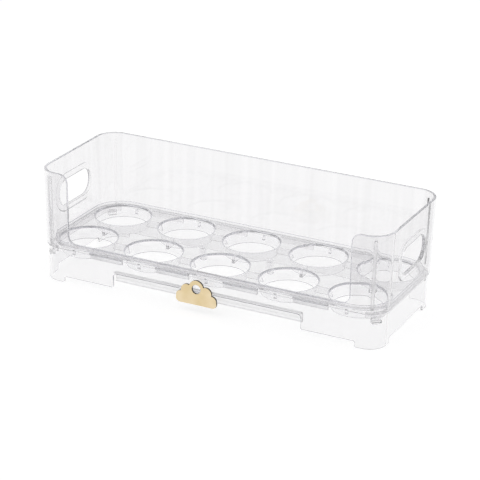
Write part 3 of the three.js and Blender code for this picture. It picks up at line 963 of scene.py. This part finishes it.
def add_cup(mould, x, y):
    """A conical cup, with painted edge shade at its mouth and round its hole."""
    mouth = [(CUP_MOUTH - CUP_ROUNDING * sin(a), tray_high.z - CUP_ROUNDING * (1 - cos(a)))
             for a in np.linspace(0, pi / 2, 9)]
    foot = rounded([(CUP_NECK, tray_high.z - CUP_ROUNDING), (CUP_HOLE, CUP_BOTTOM),
                    (CUP_HOLE + CUP_WALL, CUP_BOTTOM), (CUP_NECK + CUP_WALL, DECK_BOTTOM)],
                   [0, CUP_FILLET, CUP_FILLET, 0], steps=5, closed=False)
    profile = mouth + list(foot[1:])
    lowest = [n for n, (radius, height) in enumerate(profile) if height < CUP_BOTTOM + CUP_FILLET]
    first_face, strip = len(mould.faces), 2 * CUP_STEPS
    mould.revolve(profile, x, y, CUP_STEPS)
    # Painted edge shade on the mouth and round the hole
    mould.mark("edge", range(first_face, first_face + strip * (len(mouth) - 1)))
    mould.mark("edge", range(first_face + strip * (lowest[0] - 1), first_face + strip * lowest[-1]))


def add_deck_rim(mould):
    """The narrow rim that stands on the deck, with painted edge shade on its top."""
    width, rise = DECK_RIM
    low, high = tray_high.z - 3 * FUSED, tray_high.z + rise
    profile = rounded([(FUSED, low), (width, low), (width, high), (FUSED, high)],
                      [0, 0, SMALL_EDGE, SMALL_EDGE], steps=3)
    first_face, track = len(mould.faces), Track(tray_high.x, tray_high.y, DECK_CORNER)
    mould.hoop(track, profile)
    strip = 2 * len(track.stations())
    # The rim's top gets painted edge shade
    mould.mark("edge", range(first_face + 2 * strip, first_face + (len(profile) - 1) * strip))


def cone_reach(z):
    """Radius of a cup's outside at a height, a little inside its skin."""
    slope = (CUP_NECK - CUP_HOLE) * (z - CUP_BOTTOM) / (DECK_BOTTOM - CUP_BOTTOM)
    return CUP_HOLE + CUP_WALL + slope - FUSED


def add_ribs(mould, top):
    """Ribs along the rows of cups, and fins across them and out to the deck's edges."""
    low, high = cone_reach(RIB_BOTTOM), cone_reach(top)

    def web(start, end, place):
        loop = [(start + low, RIB_BOTTOM), (end - low, RIB_BOTTOM), (end - high, top), (start + high, top)]
        mould.plate(place, np.array(loop), SMALL_EDGE / 2)

    for y in cup_rows:
        place = slab((0, y, 0), (1, 0, 0), (0, 0, 1), (0, -1, 0), RIB_HALF)
        for left, right in zip(cup_columns, cup_columns[1:]):
            web(left, right, place)
    for x in cup_columns:
        web(cup_rows[0], cup_rows[1], slab((x, 0, 0), (0, 1, 0), (0, 0, 1), (1, 0, 0), FIN_HALF))
        for hand in (-1, 1):
            place = slab((x, 0, 0), (0, hand, 0), (0, 0, 1), (hand, 0, 0), FIN_HALF)
            reach = cup_rows[1] + low
            loop = [(reach, RIB_BOTTOM), (FIN_END, RIB_BOTTOM), (FIN_END, top - MM),
                    (FIN_END - SMALL_EDGE, top - MM)]
            mould.plate(place, np.array(loop), SMALL_EDGE / 4)


def add_boss(mould, x, top):
    """A hollow pin below the deck, closed at its top."""
    bottom, roof = tray_low.z, top - MM
    corners = [(0, top), (BOSS_RADIUS, top), (BOSS_RADIUS, bottom), (BOSS_BORE, bottom), (BOSS_BORE, roof),
               (0, roof)]
    profile = rounded(corners, [0, FUSED / 2, BOSS_EDGE, BOSS_EDGE, BOSS_EDGE, 0], steps=4, closed=False)
    mould.revolve(profile[::-1], x, 0, BOSS_STEPS)


# Date marker

def tab_outline():
    """The tab's scalloped outline round its middle, from the union of its lobes and its foot."""
    half, height = (tab_high.x - tab_low.x) / 2, tab_high.z - tab_low.z
    foot = TAB_FOOT * height
    centre = np.array([0, TAB_CENTRE * height])
    angles = np.linspace(0, 2 * pi, TAB_STEPS, endpoint=False)
    reaches = np.arange(0, TAB_REACH, TAB_TRIAL)
    directions = np.c_[np.cos(angles), np.sin(angles)]
    spots = centre + directions[:, None] * reaches[None, :, None]
    across = np.clip(spots[..., 0], foot - half, half - foot)
    gaps = [np.hypot(spots[..., 0] - across, spots[..., 1] - foot) - foot]
    for along, up, size in TAB_LOBES:
        for hand in (-1, 1) if along else (1,):
            lift = np.clip(spots[..., 1], size * height, up * height)
            gaps.append(np.hypot(spots[..., 0] - hand * along * half, spots[..., 1] - lift) - size * height)
    near = 25 * TAB_BLEND
    blend = -TAB_BLEND * np.log(sum(np.exp(-np.clip(gap, -near, near) / TAB_BLEND) for gap in gaps))
    last = len(reaches) - 1 - np.argmax((blend < 0)[:, ::-1], axis=1)
    return centre + directions * reaches[last][:, None]


def make_tab():
    """The gold tab with its hole, painted shade on its sides and two pegs."""
    mould = Moulding()
    middle_x, middle_y = (tab_low.x + tab_high.x) / 2, -base_high.y - TAB_SETOFF
    place = slab((middle_x, middle_y, tab_low.z), (1, 0, 0), (0, 0, 1), (0, -1, 0), TAB_HALF)
    mould.plate(place, tab_outline(), TAB_EDGE, [circle(0, TAB_HOLE_HEIGHT, TAB_HOLE, TAB_HOLE_STEPS)])
    peg_height = BEAD_BOTTOM + BEAD[1] / 2
    peg_start = middle_y + TAB_HALF - FUSED
    for hand in (-1, 1):
        peg_middle = (middle_x + hand * PEG_PLACE, peg_start + PEG_LENGTH / 2, peg_height)
        place = slab(peg_middle, (1, 0, 0), (0, 0, 1), (0, -1, 0), PEG_LENGTH / 2)
        mould.plate(place, circle(0, 0, PEG, PEG_STEPS), SMALL_EDGE)
    tab = mould.finished("tab", "date_marker", gold, "date_marker_tab")
    tab.data.materials.append(tab_shade)
    # The tab's sideways faces get painted shade
    for face in tab.data.polygons:
        sideways = abs(face.normal.y) < 0.5
        if sideways and face.center.y < peg_start:
            face.material_index = 1


def dress_carriage():
    """The carriage keeps its CAD shape, with its edges eased."""
    carriage = bpy.data.objects["date_marker_carriage"]
    carriage.data.materials.clear()
    carriage.data.materials.append(base_plastic)
    bevel = carriage.modifiers.new("eased_edges", "BEVEL")
    bevel.width = CARRIAGE_EDGE
    bevel.segments = 3
    bevel.limit_method = "ANGLE"
    bevel.angle_limit = CARRIAGE_SHARP
    bevel.harden_normals = True


make_wall()
make_base()
make_tray()
make_tab()
dress_carriage()


# Studio

def seen_directly(tree):
    """1 for camera, glossy and transmission rays, 0 for the rest."""
    path = tree.nodes.new("ShaderNodeLightPath")
    total = path.outputs["Is Camera Ray"]
    for name in ("Is Glossy Ray", "Is Transmission Ray"):
        total = largest(tree, total, path.outputs[name])
    return total


def make_world():
    """White to the camera, a plain light to the object, and a room that dims upward in gloss and glass."""
    world = bpy.data.worlds.new("studio")
    world.use_nodes = True
    bpy.context.scene.world = world
    tree = world.node_tree
    background = tree.nodes["Background"]
    background.inputs["Color"].default_value = (1, 1, 1, 1)
    coordinates = tree.nodes.new("ShaderNodeTexCoord")
    split = tree.nodes.new("ShaderNodeSeparateXYZ")
    tree.links.new(coordinates.outputs["Generated"], split.inputs["Vector"])
    room = spread_to(tree, split.outputs["Z"], *ROOM_LIGHTS, *ROOM_HEIGHTS)
    path = tree.nodes.new("ShaderNodeLightPath")
    shown = tree.nodes.new("ShaderNodeMix")
    tree.links.new(seen_directly(tree), shown.inputs["Factor"])
    shown.inputs["A"].default_value = WORLD_LIGHT
    tree.links.new(largest(tree, room, path.outputs["Is Camera Ray"]), shown.inputs["B"])
    tree.links.new(shown.outputs["Result"], background.inputs["Strength"])


def make_floor():
    """A white floor that keeps the object's shadow."""
    mesh = bpy.data.meshes.new("floor")
    corners = [(x * FLOOR_HALF, y * FLOOR_HALF, 0) for x, y in ((-1, -1), (1, -1), (1, 1), (-1, 1))]
    mesh.from_pydata(corners, [], [(0, 1, 2, 3)])
    floor = bpy.data.objects.new("floor", mesh)
    bpy.context.scene.collection.objects.link(floor)
    tree, shader, material = plain_material("floor")
    tree.links.new(spread_to(tree, seen_directly(tree), *FLOOR_COLOURS), shader.inputs["Base Color"])
    shader.inputs["Roughness"].default_value = FLOOR_ROUGHNESS
    shader.inputs["Specular IOR Level"].default_value = 0
    shader.inputs["Emission Color"].default_value = (1, 1, 1, 1)
    tree.links.new(spread_to(tree, seen_directly(tree), *FLOOR_GLOWS), shader.inputs["Emission Strength"])
    mesh.materials.append(material)


def make_lamp(name, place, power):
    """A wide soft lamp that points at the object."""
    lamp = bpy.data.lights.new(name, "AREA")
    lamp.size, lamp.energy = LAMP_SIZE, power
    holder = bpy.data.objects.new(name, lamp)
    holder.location = place
    holder.rotation_euler = (Vector(LAMP_AIM) - Vector(place)).to_track_quat("-Z", "Y").to_euler()
    bpy.context.scene.collection.objects.link(holder)


def make_camera():
    """The camera, where the photograph was taken from."""
    azimuth, elevation, roll = radians(26.115), radians(22.163), radians(1.18)
    back = Vector((cos(elevation) * sin(azimuth), -cos(elevation) * cos(azimuth), sin(elevation)))
    right = Vector((cos(azimuth), sin(azimuth), 0))
    up = back.cross(right)
    aim = right * CAMERA_AIM[0] + Vector((0, 0, CAMERA_AIM[1]))
    camera = bpy.data.objects.new("camera", bpy.data.cameras.new("camera"))
    camera.data.lens = CAMERA_LENS
    camera.data.clip_end = CAMERA_CLIP
    axes = (right * cos(roll) + up * sin(roll), up * cos(roll) - right * sin(roll), back)
    turn = Matrix(axes).transposed().to_4x4()
    camera.matrix_world = Matrix.Translation(aim + back * CAMERA_DISTANCE) @ turn
    bpy.context.scene.collection.objects.link(camera)
    bpy.context.scene.camera = camera


make_camera()
make_world()
make_floor()
make_lamp("key", (-0.9, -0.9, 1.5), 9)
make_lamp("fill", (1.3, 0.4, 1.2), 4)

scene = bpy.context.scene
scene.view_settings.view_transform = "Standard"
scene.cycles.max_bounces = BOUNCES
scene.cycles.transmission_bounces = BOUNCES
scene.cycles.glossy_bounces = BOUNCES
scene.cycles.transparent_max_bounces = SHADOW_BOUNCES
